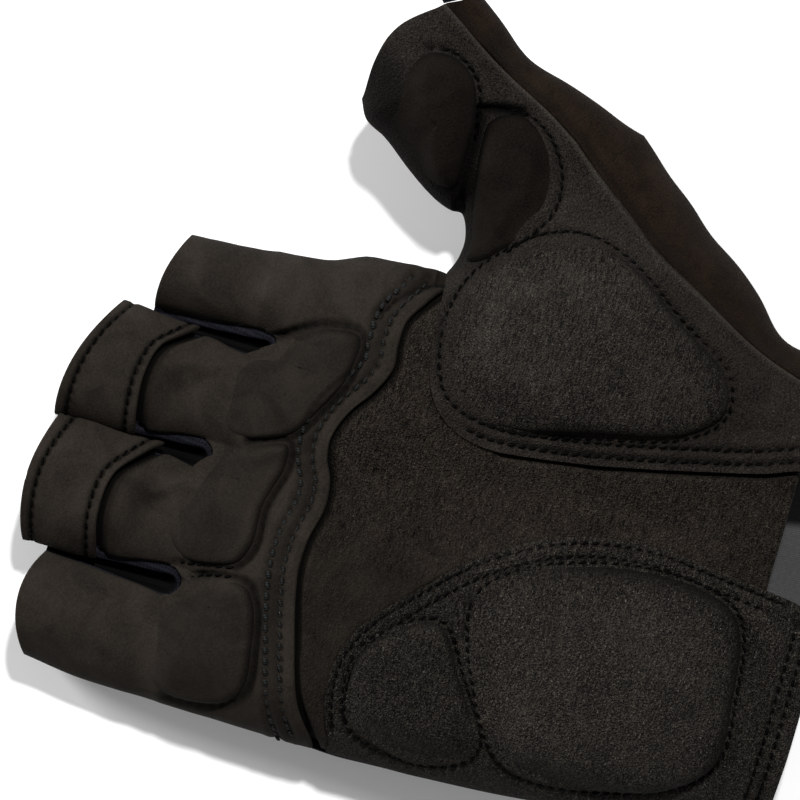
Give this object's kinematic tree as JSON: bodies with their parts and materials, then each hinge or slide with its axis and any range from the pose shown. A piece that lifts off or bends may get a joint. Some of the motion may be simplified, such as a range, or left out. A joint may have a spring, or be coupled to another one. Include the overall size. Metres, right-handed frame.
{
  "type": "cycling glove",
  "caption": "Right-hand cycling glove with open fingers and thumb, hollow from cuff to stalls, with a padded, panelled palm and a vent in the cuff.",
  "frame": {"origin": "on the floor under the middle of the glove's box, with the glove lying on its back, palm up", "axes": "+X from the little finger towards the thumb, +Y from the cuff towards the fingertips, +Z out of the palm"},
  "size_m": [0.1476, 0.153, 0.0356],
  "materials": {
    "palm_suede": "matt synthetic suede",
    "pad_suede": "grained synthetic suede over foam",
    "thumb_fleece": "soft brushed suede",
    "stretch_cloth": "fine stretch knit",
    "cuff_lining": "smooth brushed knit"
  },
  "bodies": {
    "root": {"palm_panel": "palm_suede", "finger_panel": "palm_suede", "thenar_panel": "palm_suede", "heel_panel": "palm_suede", "pull_tab_ring": "palm_suede", "pull_tab_middle": "palm_suede", "knuckle_pad_index": "pad_suede", "knuckle_pad_ring": "pad_suede", "knuckle_pad_little": "pad_suede", "thenar_pad": "pad_suede", "heel_pad_small": "pad_suede", "heel_pad_large": "pad_suede", "thumb_tip_pad": "pad_suede", "thumb_web_patch": "pad_suede", "thumb_back_panel": "thumb_fleece", "back_panel": "stretch_cloth", "gusset_ring_little": "stretch_cloth", "gusset_middle_ring": "stretch_cloth", "gusset_index_middle": "stretch_cloth", "thumb_binding": "stretch_cloth", "cuff_lining": "cuff_lining"}
  },
  "joints": []
}
